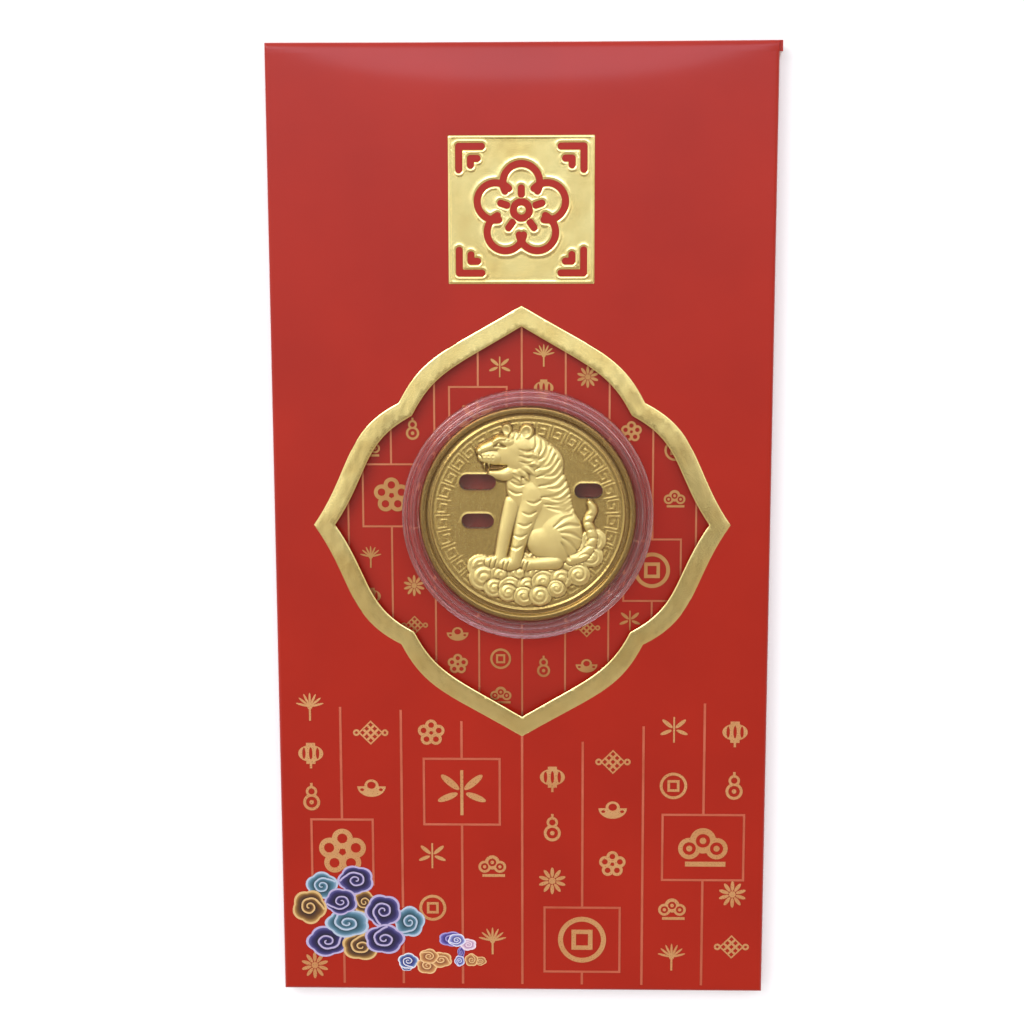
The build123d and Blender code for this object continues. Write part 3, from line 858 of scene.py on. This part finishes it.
def capsule(plate, rim):
    """Clear capsule: a base whose wall holds the coin, and a lid whose skirt goes round the wall."""
    low = node_box("capsule_base")[0][2] + capsule_seat_gap / 10
    lid_low, lid_high = node_box("capsule_lid")
    high = lid_high[2]
    outer = (lid_high - lid_low)[0] / 2
    floor = low + capsule_plate
    ceiling = high - capsule_plate
    wall_inner = coin_radius + capsule_side_gap
    wall_outer = wall_inner + capsule_wall
    skirt_inner = wall_outer + capsule_side_gap
    skirt_outer = skirt_inner + capsule_wall
    edge = capsule_edge
    wall_top = ceiling - capsule_seat_gap
    skirt_foot = floor + capsule_seat_gap
    base = (
        (0, low, 0), (outer, low, capsule_round), (outer, floor, capsule_round),
        (wall_outer, floor, edge), (wall_outer, wall_top, edge), (wall_inner, wall_top, edge),
        (wall_inner, floor, edge), (0, floor, 0),
    )
    groove_outer = outer - capsule_groove_place
    groove_inner = groove_outer - capsule_groove_width
    groove_low = high - capsule_groove
    lid = (
        (0, ceiling, 0), (skirt_inner, ceiling, edge), (skirt_inner, skirt_foot, edge),
        (skirt_outer, skirt_foot, edge), (skirt_outer, ceiling, edge / 4),
        (outer, ceiling, capsule_round), (outer, high, capsule_round), (groove_outer, high, capsule_bead),
        (groove_outer, groove_low, edge / 2), (groove_inner, groove_low, edge / 2),
        (groove_inner, high, capsule_bead), (0, high, 0),
    )
    turned("clear_base", base, "insert", plate, rim, "capsule_base")
    turned("clear_lid", lid, "lid", plate, rim, "capsule_lid")


def curve(points, count=10):
    """Smooth line through points, as more points."""
    points = np.array(points, float)
    padded = np.concatenate([2 * points[:1] - points[1:2], points, 2 * points[-1:] - points[-2:-1]])
    line = []
    for i in range(len(points) - 1):
        p0, p1, p2, p3 = padded[i:i + 4]
        for share in np.linspace(0, 1, count, endpoint=False):
            bend = 2 * p1 + (p2 - p0) * share + (2 * p0 - 5 * p1 + 4 * p2 - p3) * share ** 2
            line.append((bend + (3 * p1 - p0 - 3 * p2 + p3) * share ** 3) / 2)
    return np.array([*line, points[-1]])


# The figure on the coin is drawn in shares of the coin's radius and of the relief's height.


def dome(place, middle, radii, turn, height):
    """Half an egg on the field."""
    across = place - np.array(middle)
    c, s = cos(radians(turn)), sin(radians(turn))
    u = (across[:, 0] * c + across[:, 1] * s) / radii[0]
    v = (across[:, 1] * c - across[:, 0] * s) / radii[1]
    return height * arch(np.hypot(u, v))


def limb(place, points, radii, height, count=5):
    """Round limb along a smooth line, with a radius at each of the line's points."""
    line = curve([[*point, radius] for point, radius in zip(points, radii)], count)
    low = line[:, :2].min(0) - max(radii)
    high = line[:, :2].max(0) + max(radii)
    near = np.flatnonzero(((place > low) & (place < high)).all(1))
    close = place[near]
    found = np.zeros(len(near))
    for a, b in zip(line[:-1], line[1:]):
        share, gap = line_share(close, a[:2], b[:2])
        radius = np.maximum(a[2] + (b[2] - a[2]) * share, 1e-4)
        found = np.maximum(found, arch(gap / radius))
    heights = np.zeros(len(place))
    heights[near] = height * found
    return heights


def stroke(place, points, width, depth):
    """Stroke that is widest near its middle and pointed at both ends."""
    line = curve(points, 4)
    shares = np.linspace(0, 1, len(line))
    radii = width * (0.18 + 0.82 * np.sin(pi * (0.12 + 0.85 * shares)) ** 0.8)
    return limb(place, line, radii, depth, 1)


def merged(first, second, soft):
    """Higher of two heights, with a soft valley where both are above the field."""
    soft = np.minimum(soft, np.minimum(first, second)) + 1e-6
    share = np.clip(0.5 + 0.5 * (first - second) / soft, 0, 1)
    return second + (first - second) * share + soft * share * (1 - share)


def tiger_body(place):
    """Seated body with its chest, legs and paws."""
    body = limb(place, [(0.08, 0.50), (0.15, 0.20), (0.20, -0.14)], (0.19, 0.235, 0.26), 0.62)
    body = merged(body, limb(place, [(0.13, 0.46), (0.03, 0.55)], (0.20, 0.19), 0.70), 0.25)
    body = merged(body, dome(place, (-0.05, 0.24), (0.14, 0.25), 10, 0.70), 0.2)
    far_leg = limb(place, [(-0.13, 0.10), (-0.20, -0.14), (-0.25, -0.40)], (0.085, 0.066, 0.058), 0.52)
    far_leg = merged(far_leg, dome(place, (-0.30, -0.44), (0.105, 0.06), 4, 0.54), 0.1)
    body = np.maximum(body, far_leg)
    haunch = dome(place, (0.28, -0.20), (0.225, 0.27), -12, 0.90)
    haunch = merged(haunch, dome(place, (0.13, -0.25), (0.14, 0.17), 24, 0.86), 0.2)
    body = merged(body, haunch, 0.05)
    foot = limb(place, [(0.26, -0.44), (0.08, -0.455), (-0.01, -0.46)], (0.075, 0.062, 0.066), 0.78)
    body = merged(body, foot, 0.03)
    near_leg = limb(place, [(0.03, 0.08), (-0.035, -0.12), (-0.085, -0.28), (-0.115, -0.42)],
                    (0.12, 0.092, 0.070, 0.068), 0.90)
    near_leg = merged(near_leg, dome(place, (-0.165, -0.455), (0.118, 0.07), 3, 0.90), 0.12)
    near_leg = merged(near_leg, dome(place, (0.035, 0.15), (0.14, 0.22), 16, 0.84), 0.2)
    return merged(body, near_leg, 0.04)


# Tufts of the cheek: root and tip. Ears: middle, radii and turn.
cheek_tufts = (
    ((-0.02, 0.55), (0.11, 0.54)), ((-0.02, 0.49), (0.105, 0.455)), ((-0.04, 0.44), (0.07, 0.375)),
    ((-0.07, 0.41), (0.01, 0.325)), ((-0.11, 0.39), (-0.06, 0.305)),
)
ears = (((-0.005, 0.765), (0.066, 0.074), -28), ((-0.185, 0.785), (0.046, 0.058), 8))


def tiger_head(place):
    """Head in profile: skull, cheek, jaw, bridge of the nose, muzzle, brow, tufts and ears."""
    head = dome(place, (-0.12, 0.585), (0.205, 0.185), -10, 0.98)
    head = merged(head, dome(place, (-0.075, 0.50), (0.15, 0.135), 0, 0.97), 0.15)
    jaw = limb(place, [(-0.10, 0.42), (-0.21, 0.375), (-0.325, 0.385)], (0.085, 0.064, 0.044), 0.80)
    head = merged(head, jaw, 0.03)
    bridge = limb(place, [(-0.16, 0.675), (-0.29, 0.65), (-0.405, 0.61)], (0.07, 0.060, 0.048), 1.0)
    head = merged(head, bridge, 0.10)
    head = merged(head, dome(place, (-0.335, 0.535), (0.125, 0.086), -6, 1.0), 0.06)
    head = merged(head, dome(place, (-0.44, 0.592), (0.034, 0.034), 20, 0.94), 0.02)
    brow = limb(place, [(-0.315, 0.675), (-0.25, 0.705), (-0.17, 0.70)], (0.020, 0.034, 0.020), 1.05)
    head = merged(head, brow, 0.05)
    for root, tip in cheek_tufts:
        bend = (np.array(root) + np.array(tip)) / 2 + (0.0, 0.012)
        head = np.maximum(head, limb(place, [root, bend, tip], (0.060, 0.045, 0.008), 0.93))
    for middle, radii, turn in ears:
        ear = dome(place, middle, radii, turn, 0.90)
        hollow = dome(place, np.array(middle) - (0.008, 0.0), np.array(radii) * 0.65, turn, 0.55)
        head = np.maximum(head, ear - hollow)
    return head


tail_route = ((0.40, -0.42), (0.53, -0.37), (0.60, -0.22), (0.555, -0.07), (0.60, 0.04), (0.575, 0.11))
tail_radii = (0.055, 0.052, 0.048, 0.046, 0.044, 0.030)


# Rows of stripes on leg, chest, brow, neck and cheek: the first one's place, the step to the next,
# their count, the offsets to a stripe's middle and end, and its width
stripe_rows = (
    ((0.12, 0.14), (-0.042, -0.105), 5, (-0.06, -0.03), (-0.125, -0.01), 0.017),
    ((-0.17, 0.23), (0.02, 0.075), 3, (0.06, -0.03), (0.12, -0.025), 0.016),
    ((-0.055, 0.755), (-0.05, 0.0), 3, (-0.015, -0.035), (-0.045, -0.06), 0.012),
    ((0.075, 0.715), (0.052, -0.03), 3, (0.005, -0.07), (-0.025, -0.135), 0.016),
    ((0.055, 0.605), (0.0, -0.055), 3, (-0.055, -0.015), (-0.13, 0.0), 0.013),
)


def stripe_routes():
    """Routes and widths of the tiger's stripes: flank, haunch, the rows above, and tail."""
    back = curve([(0.20, 0.665), (0.325, 0.46), (0.395, 0.20), (0.43, 0.07)], 4)
    chest = curve([(0.05, 0.43), (0.07, 0.30), (0.12, 0.12), (0.18, 0.05)], 4)
    for number, (a, b) in enumerate(zip(back, chest)):
        end = a + (b - a) * (0.92 if number % 2 else 0.66)
        yield [a + (b - a) * 0.04, (a + end) / 2 + (0.01, -0.035), end], 0.022
    for number in range(5):
        turn = radians(-58 + 27 * number)
        a = np.array([0.275 + 0.215 * cos(turn), -0.20 + 0.255 * sin(turn)])
        b = np.array([0.235 + 0.08 * cos(turn + 0.6), -0.21 + 0.10 * sin(turn + 0.6)])
        yield [a, (a + b) / 2 + (0.0, 0.02), b], 0.020
    for first, step, count, bend, end, width in stripe_rows:
        for number in range(count):
            spot = np.array(first) + number * np.array(step)
            yield [spot, spot + bend, spot + end], width
    for spot in curve(tail_route[1:-1], 2)[:-1]:
        yield [spot + (-0.05, -0.012), spot + (0, 0.008), spot + (0.05, -0.004)], 0.014


toes = (
    (-0.225, -0.455), (-0.185, -0.46), (-0.345, -0.44),
    (-0.30, -0.445), (-0.045, -0.46), (-0.005, -0.465),
)
fangs = ((-0.395, 0.05), (-0.355, 0.035))


def tiger(place):
    """Seated tiger that looks to the left, with its stripes and features cut in."""
    figure = merged(tiger_body(place), tiger_head(place), 0.02)
    figure = np.maximum(figure, limb(place, tail_route, tail_radii, 0.62))
    mouth = [(-0.48, 0.472), (-0.40, 0.452), (-0.29, 0.437), (-0.19, 0.452)]
    cuts = [limb(place, mouth, (0.036, 0.034, 0.026, 0.008), 0.62)]
    eye_route = [(-0.305, 0.635), (-0.26, 0.647), (-0.205, 0.632)]
    cuts.append(limb(place, eye_route, (0.012, 0.026, 0.010), 0.34))
    cuts.append(stroke(place, [(-0.44, 0.555), (-0.42, 0.535), (-0.415, 0.50)], 0.010, 0.22))
    for route, width in stripe_routes():
        cuts.append(stroke(place, route, width, 0.13))
    for number in range(6):
        spot = (-0.395 + 0.04 * (number % 3), 0.545 - 0.028 * (number // 3))
        cuts.append(dome(place, spot, (0.009, 0.009), 0, 0.12))
    for x, y in toes:
        route = [(x - 0.012, y - 0.05), (x, y - 0.005), (x + 0.012, y + 0.035)]
        cuts.append(stroke(place, route, 0.010, 0.2))
    figure = np.clip(figure - np.max(cuts, 0) * (figure > 0.02), 0, None)
    figure = figure + dome(place, (-0.262, 0.645), (0.015, 0.013), 0, 0.26)
    for x, length in fangs:
        fang = limb(place, [(x, 0.468), (x + 0.004, 0.468 - length)], (0.013, 0.003), 0.86)
        figure = np.maximum(figure, fang)
    return figure


# Rows of curled waves on the mound, from back to front: left and right end, count, radius and height
mound_rows = (
    ((-0.44, -0.50), (0.62, -0.24), 7, 0.125, 0.40),
    ((-0.42, -0.58), (0.60, -0.40), 7, 0.125, 0.46),
    ((-0.32, -0.67), (0.48, -0.55), 6, 0.115, 0.52),
    ((-0.18, -0.74), (0.28, -0.68), 4, 0.105, 0.56),
)


def mound(place):
    """Mound of curled waves, each over the ones behind it."""
    found = np.zeros(len(place))
    for row, (left, right, count, radius, height) in enumerate(mound_rows):
        for number, middle in enumerate(np.linspace(left, right, count)):
            up = 0.015 * cos(5 * number + 2 * row) - 0.045 * sin(pi * number / (count - 1))
            middle = middle + (0.012 * sin(7 * number + row), up)
            size = radius * (1 + 0.12 * sin(3.7 * number + 1.9 * row))
            wave = dome(place, middle, (size, size * 0.92), 0, height)
            across = place - middle
            reach = np.hypot(*across.T) / size
            turn = np.arctan2(across[:, 1], across[:, 0]) * (1 if number % 2 else -1)
            curl = 0.5 + 0.5 * np.cos(2 * pi * 2.3 * reach - turn)
            curled = np.maximum(wave - 0.15 * curl * smooth(reach, 0.05, 0.3), 0.16)
            found = np.where(wave > 0.14, curled, found)
    return found


# One unit of the fret ring: corners of its stroke, as shares of the unit's length and height
fret_corners = (
    (0.08, 0.04), (0.08, 0.96), (0.88, 0.96), (0.88, 0.24), (0.36, 0.24), (0.36, 0.62), (0.62, 0.62),
)


def fret_ring(place):
    """Ring of square spirals, as a share of the fret's height."""
    units = np.arctan2(place[:, 1], place[:, 0]) / (2 * pi) * fret_units
    length = pi * (fret_inner + fret_outer) / fret_units
    local = np.column_stack([(units - np.floor(units)) * length, np.hypot(*place.T) - fret_inner])
    corners = np.array(fret_corners) * (length, fret_outer - fret_inner)
    least = np.min([line_share(local, a, b)[1] for a, b in zip(corners[:-1], corners[1:])], 0)
    return 1 - smooth(least, fret_stroke * 0.3, fret_stroke * 0.75)


def coin_ground(points, slots):
    """Height of the rim, the line ring, the fret ring and the slots' lips above the coin's field."""
    place = points - coin_middle
    reach = np.hypot(*place.T)
    in_ring = (reach > fret_inner) & (reach < fret_outer)
    from_line = np.abs(reach - line_outer + line_width / 2) / (line_width / 2)
    from_rim = np.abs(reach - coin_radius + rim_width / 2) / (rim_width / 2)
    return np.max([
        fret_height * fret_ring(place) * in_ring,
        line_height * arch(from_line),
        rim_height * arch(from_rim ** 2),
        slot_lip_height * np.clip(1 - (rim_distance(points, slots) / slot_lip) ** 2, 0, None),
    ], 0)


def neighbour_mean(values, faces):
    """Mean of each point's neighbours in a mesh of triangles."""
    ends = np.concatenate([faces[:, [0, 1]], faces[:, [1, 2]], faces[:, [2, 0]]])
    total = np.bincount(ends[:, 0], values[ends[:, 1]], len(values))
    total += np.bincount(ends[:, 1], values[ends[:, 0]], len(values))
    return total / np.bincount(ends.ravel(), minlength=len(values))


def coin_piece(material):
    """Struck coin with pierced slots, a fret ring and the tiger on its mound."""
    loops = [divided(loop, coin_wall_step) for loop in outlines("coin", -1)]
    slots = [loop for loop in loops if np.ptp(loop[:, 0]) < coin_radius]
    upper = triangulated(loops, lattice(loops, coin_step, coin_step / 2))
    lower = triangulated(loops, np.zeros((0, 2)))
    share = (upper[0] - coin_middle) / coin_radius
    animal = tiger(share)
    figure = relief_height * np.where(animal < 0.04, mound(share), animal)
    ground = coin_ground(upper[0], slots)
    height = np.maximum(figure, ground)
    height = (height + neighbour_mean(height, upper[1])) / 2
    # Painted shade: points below their smoothed surroundings, and the rim band, are darkened in the
    # gold's colour
    around = height
    for _ in range(hollow_rounds):
        around = neighbour_mean(around, upper[1])
    reach = np.hypot(*(upper[0] - coin_middle).T)
    shaded_hollows = hollow_shade * smooth(around - height, 0.005, 0.10)
    painted_shade = np.maximum(shaded_hollows, rim_shade * smooth(reach, line_outer, line_outer + 0.6))
    frost = smooth(figure, 0.02, 0.15)
    below = np.zeros(len(lower[0]))
    points, faces = closed_plate(loops, upper, coin_field + height, lower, below + coin_low[2])
    attributes = {"frost": np.concatenate([frost, below]), "painted_shade": np.concatenate([painted_shade, below])}
    piece = add_piece("struck_coin", points, faces, material, ["coin"], 70.0, attributes)
    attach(piece, "coin")


def dress(nodes, material):
    """Gives CAD nodes a material."""
    for node in nodes:
        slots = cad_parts[node].data.materials
        slots.clear()
        slots.append(material)


def add_floor():
    """Pale floor, shown white, which keeps the object's shadow."""
    half = floor_size / 2 / metre
    level = -floor_gap / metre
    mesh = bpy.data.meshes.new("floor")
    corners = [(-half, -half, level), (half, -half, level), (half, half, level), (-half, half, level)]
    mesh.from_pydata(corners, [], [(0, 1, 2, 3)])
    floor = add_object("floor", mesh)
    material = bpy.data.materials.new("floor")
    material.use_nodes = True
    tree = material.node_tree
    tree.nodes.clear()
    path = add_node(tree, "LightPath", {})
    seen = maths("ADD", path.outputs["Is Camera Ray"], path.outputs["Is Glossy Ray"])
    seen = maths("ADD", seen, path.outputs["Is Transmission Ray"])
    glow = maths("MULTIPLY", maths("MINIMUM", seen, 1.0), floor_glow)
    pale = add_node(tree, "BsdfDiffuse", {"Color": (floor_shade, floor_shade, floor_shade, 1.0)})
    light = add_node(tree, "Emission", {"Strength": glow})
    both = add_node(tree, "AddShader", {0: pale.outputs[0], 1: light.outputs[0]})
    add_node(tree, "OutputMaterial", {"Surface": both.outputs[0]})
    mesh.materials.append(material)


def add_light():
    """Soft key lamp from the upper left, under a dome that is brighter towards the flap end."""
    lamp = bpy.data.lights.new("key", "AREA")
    lamp.size = key_size / metre
    lamp.energy = key_power
    key = add_object("key", lamp)
    key.location = Vector(key_place) / metre
    key.rotation_mode = "QUATERNION"
    key.rotation_quaternion = (-Vector(key_place)).to_track_quat("-Z", "Y")
    key.visible_camera = False
    world = bpy.data.worlds.new("studio")
    bpy.context.scene.world = world
    world.use_nodes = True
    tree = world.node_tree
    direction = add_node(tree, "TexCoord", {}).outputs["Generated"]
    parts = add_node(tree, "SeparateXYZ", {0: direction})
    tilted = maths("MULTIPLY_ADD", parts.outputs["X"], sky_tilt, parts.outputs["Y"])
    colour = (*sky_foot, 1.0)
    for low, high, next_colour in sky_steps:
        colour = blended(ranged(tilted, low, high), colour, (*next_colour, 1.0))
    for middle, scale, patch_colour in sky_patches:
        offset = vector_maths("SUBTRACT", direction, middle).outputs[0]
        spread = vector_maths("MULTIPLY", offset, scale).outputs[0]
        reach = vector_maths("LENGTH", spread).outputs["Value"]
        edge = ranged(reach, *patch_edge)
        colour = blended(edge, (*patch_colour, 1.0), colour)
    rise = ranged(parts.outputs["Z"], *horizon_edge)
    colour = blended(rise, (*horizon_colour, 1.0), colour)
    tree.links.new(colour, tree.nodes["Background"].inputs["Color"])
    bpy.context.scene.view_settings.view_transform = "Standard"


def add_camera():
    """Camera at the photograph's place: nearly square on, a little towards the flap end."""
    data = bpy.data.cameras.new("camera")
    data.lens = camera_lens
    data.sensor_width = camera_sensor
    data.clip_start = camera_near / metre
    camera = add_object("camera", data)
    turn = Vector([radians(angle) for angle in camera_turn])
    towards = Matrix.Rotation(turn.length, 3, turn.normalized())
    place = Matrix.Translation(Vector(camera_place) / metre)
    camera.matrix_world = place @ towards.transposed().to_4x4()
    bpy.context.scene.camera = camera


red_card = card_material("red_card", ink(163, 28, 7), ink(155, 24, 5), True)
insert_red = card_material("insert_card", ink(160, 30, 12), ink(151, 26, 10), False)
bright_foil = foil_material("bright_foil", ink(240, 224, 156), ink(226, 202, 130), 0.16, 0.3)
mark_foil = foil_material("mark_foil", ink(250, 198, 142), ink(236, 172, 118), 0.3, 0.05)
rule_foil = foil_material("rule_foil", ink(238, 136, 110), ink(222, 116, 90), 0.34, 0.05)
# Painted shade: the insert's foils are darker copies of the front's foils, for the shade in the recess
# behind the window
insert_foil = foil_material("insert_foil", ink(206, 160, 104), ink(186, 136, 86), 0.36, 0.05)
insert_rule_foil = foil_material("insert_rule_foil", ink(210, 136, 100), ink(194, 116, 84), 0.36, 0.05)
film = adhesive_material(
    "adhesive", ink(214, 206, 192), ink(186, 170, 150), 1100.0, (0.25, 0.4), 0.1, 0.03, 0.0)
glue = adhesive_material(
    "glue", ink(226, 220, 204), ink(204, 192, 168), 1400.0, (0.35, 0.6), 0.5, 1.0, 0.4)
clear_plate = clear_material(
    "clear_plate", (0.98, 0.97, 0.97, 1.0), (0.96, 0.95, 0.95, 1.0), (0.01, 0.04), 1.0, 1.38)
# Painted colour: the rim's pink tint stands in for the red card seen through the plastic's edge
pink_tinted_rim = clear_material(
    "pink_tinted_rim", (0.94, 0.69, 0.68, 1.0), (0.90, 0.62, 0.62, 1.0), (0.03, 0.07), 0.985, 1.54)

front_sheet(red_card)
mouth_fold(red_card)
foot_fold(red_card)
embossed("foil_square", "embossed_square", square_rows, square_step, square_profile, bright_foil)
embossed("foil_window_border", "embossed_border", border_rows, border_step, border_profile, bright_foil)
clouds(cloud_material())
capsule(clear_plate, pink_tinted_rim)
coin_piece(coin_material())
dress(("left_wrap", "right_wrap", "closure_flap"), red_card)
dress(("insert_card",), insert_red)
dress(("foil_rules", "foil_frames"), rule_foil)
dress(("foil_motifs",), mark_foil)
dress(("insert_foil_rules", "insert_foil_frames"), insert_rule_foil)
dress(("insert_foil_motifs",), insert_foil)
dress(("capsule_pad",), film)
dress(("seam_glue", "bottom_glue"), glue)
add_floor()
add_light()
add_camera()
